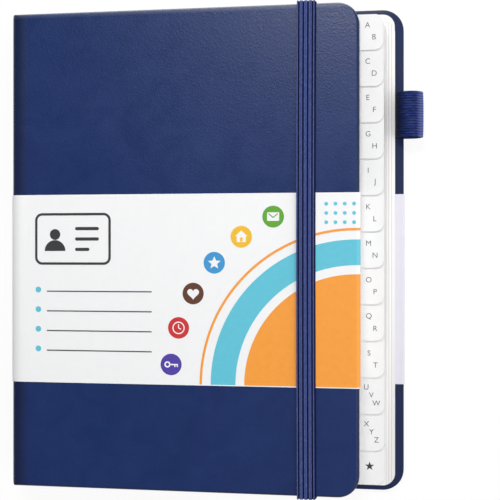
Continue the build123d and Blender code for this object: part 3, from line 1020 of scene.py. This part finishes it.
def contact_card():
    """A line drawing of a card with a figure and rows, above blank lines to write on."""
    inner_low = (CARD_LOW[0] + CARD_LINE, CARD_LOW[1] + CARD_LINE)
    inner_high = (CARD_HIGH[0] - CARD_LINE, CARD_HIGH[1] - CARD_LINE)
    inside = rounded_box(inner_low, inner_high, CARD_ROUND - CARD_LINE)
    border = [rounded_box(CARD_LOW, CARD_HIGH, CARD_ROUND), inside]
    rows = [bar(CARD_ROW_START, end, y, CARD_ROW_HEIGHT, CARD_ROW_ROUND) for y, end in CARD_ROWS]
    wrap_plate("print_card", [border] + rows + moved(person(), PERSON_PLACE, PERSON_SCALE), DARK_INK)
    lines = [bar(*WRITING_SPAN, y, WRITING_HEIGHT, WRITING_ROUND) for y in WRITING_LEVELS]
    wrap_plate("print_lines", lines, GREY_INK)
    x, rise = BULLET_PLACE
    bullets = [[circle((x, y + rise), BULLET_RADIUS, BULLET_STEPS)] for y in WRITING_LEVELS]
    wrap_plate("print_bullets", bullets, TEAL)


def dot_grid():
    x, y = DOT_FIRST
    places = [(x + DOT_PITCH * column, y - DOT_PITCH * row)
              for column in range(DOT_COLUMNS) for row in range(DOT_ROWS)]
    wrap_plate("print_dots", [[circle(place, DOT_RADIUS, DOT_STEPS)] for place in places], TEAL)


corner_rings()
badges()
contact_card()
dot_grid()


# Floor

FLOOR_HALF = 3000.0
FLOOR_LEVEL = -0.1
FLOOR_BOUNCE = 0.8
FLOOR_SEEN = 0.12
FLOOR_GLOW = 0.89


def grey(value):
    return (value, value, value, 1)


def mixed_floor():
    """White to the camera with the object's shadow kept faint, and a plain pale bounce for the rest."""
    material = bpy.data.materials.new("pale_floor")
    material.use_nodes = True
    tree = material.node_tree
    tree.nodes.clear()
    out = add(tree, "ShaderNodeOutputMaterial")
    bounce = add(tree, "ShaderNodeBsdfDiffuse", {"Color": grey(FLOOR_BOUNCE)})
    seen = add(tree, "ShaderNodeBsdfDiffuse", {"Color": grey(FLOOR_SEEN)})
    glow = add(tree, "ShaderNodeEmission", {"Color": grey(1), "Strength": FLOOR_GLOW})
    both = add(tree, "ShaderNodeAddShader")
    link(tree, seen.outputs[0], both.inputs[0])
    link(tree, glow.outputs[0], both.inputs[1])
    rays = add(tree, "ShaderNodeLightPath").outputs
    direct = math_node(tree, "MAXIMUM", rays["Is Camera Ray"], rays["Is Glossy Ray"])
    direct = math_node(tree, "MAXIMUM", direct, rays["Is Transmission Ray"])
    choose = add(tree, "ShaderNodeMixShader")
    link(tree, direct, choose.inputs[0])
    link(tree, bounce.outputs[0], choose.inputs[1])
    link(tree, both.outputs[0], choose.inputs[2])
    link(tree, choose.outputs[0], out.inputs["Surface"])
    return material


FLOOR_CORNERS = [(x * FLOOR_HALF, y * FLOOR_HALF, FLOOR_LEVEL)
                 for x, y in ((-1, -1), (1, -1), (1, 1), (-1, 1))]
floor = piece("floor", FLOOR_CORNERS, [(0, 1, 2, 3)], mixed_floor())


# Light; a lamp is its name, place, target, size and power.

AMBIENT_LEFT = 0.07
AMBIENT_RIGHT = 0.87
LAMPS = (
    ("key", (30, 350, 700), (30, 40, 10), (260, 120), 2.4),
    ("fill", (480, -200, 800), (40, 0, 10), (600, 500), 1.35),
    ("rim", (80, 560, 50), (30, 90, 15), (600, 50), 1.5),
    ("edge", (560, 20, 330), (70, 20, 15), (60, 700), 0.2),
)


def graded_world():
    """Soft surrounding light, dimmer from the spine's side; white where the camera looks past the floor."""
    world = bpy.data.worlds.new("studio")
    bpy.context.scene.world = world
    world.use_nodes = True
    tree = world.node_tree
    background = tree.nodes["Background"]
    sideways = split(tree, add(tree, "ShaderNodeTexCoord").outputs["Generated"])["X"]
    span = {"From Min": -1.0, "From Max": 1.0, "To Min": AMBIENT_LEFT, "To Max": AMBIENT_RIGHT}
    graded = add(tree, "ShaderNodeMapRange", span)
    link(tree, sideways, graded.inputs["Value"])
    rays = add(tree, "ShaderNodeLightPath").outputs
    direct = math_node(tree, "MAXIMUM", rays["Is Camera Ray"], rays["Is Transmission Ray"])
    strength = math_node(tree, "MAXIMUM", direct, graded.outputs["Result"])
    link(tree, strength, background.inputs["Strength"])
    background.inputs["Color"].default_value = grey(1)


def area_light(name, place, target, size, power):
    data = bpy.data.lights.new(name, "AREA")
    data.shape = "RECTANGLE"
    data.size = size[0] * MM
    data.size_y = size[1] * MM
    data.energy = power
    lamp = bpy.data.objects.new(name, data)
    lamp.location = Vector(place) * MM
    lamp.rotation_euler = (Vector(target) - Vector(place)).to_track_quat("-Z", "Y").to_euler()
    bpy.context.scene.collection.objects.link(lamp)


graded_world()
for lamp_settings in LAMPS:
    area_light(*lamp_settings)


# Camera, to the right of the cover's normal and level with the book's middle

VIEW_ANGLE = math.radians(9.69)
VIEW_DEPTH = 420.0
FORE_EDGE_OFFSET = 42.31
SENSOR = 36.0
LENS = 78.01
CLIP_START = 0.01
CLIP_END = 50


def make_camera():
    right = Vector((math.cos(VIEW_ANGLE), 0, -math.sin(VIEW_ANGLE)))
    ahead = Vector((-math.sin(VIEW_ANGLE), 0, -math.cos(VIEW_ANGLE)))
    up = Vector((0, 1, 0))
    fore_edge = Vector((FRONT_HIGH.x, 0, FRONT_HIGH.z))
    place = (fore_edge - FORE_EDGE_OFFSET * right - VIEW_DEPTH * ahead) * MM
    data = bpy.data.cameras.new("camera")
    data.sensor_width = SENSOR
    data.lens = LENS
    data.clip_start = CLIP_START
    data.clip_end = CLIP_END
    camera = bpy.data.objects.new("camera", data)
    turn = Matrix((right, up, -ahead)).transposed()
    camera.matrix_world = Matrix.Translation(place) @ turn.to_4x4()
    bpy.context.scene.collection.objects.link(camera)
    bpy.context.scene.camera = camera


make_camera()
bpy.context.scene.view_settings.view_transform = "Standard"
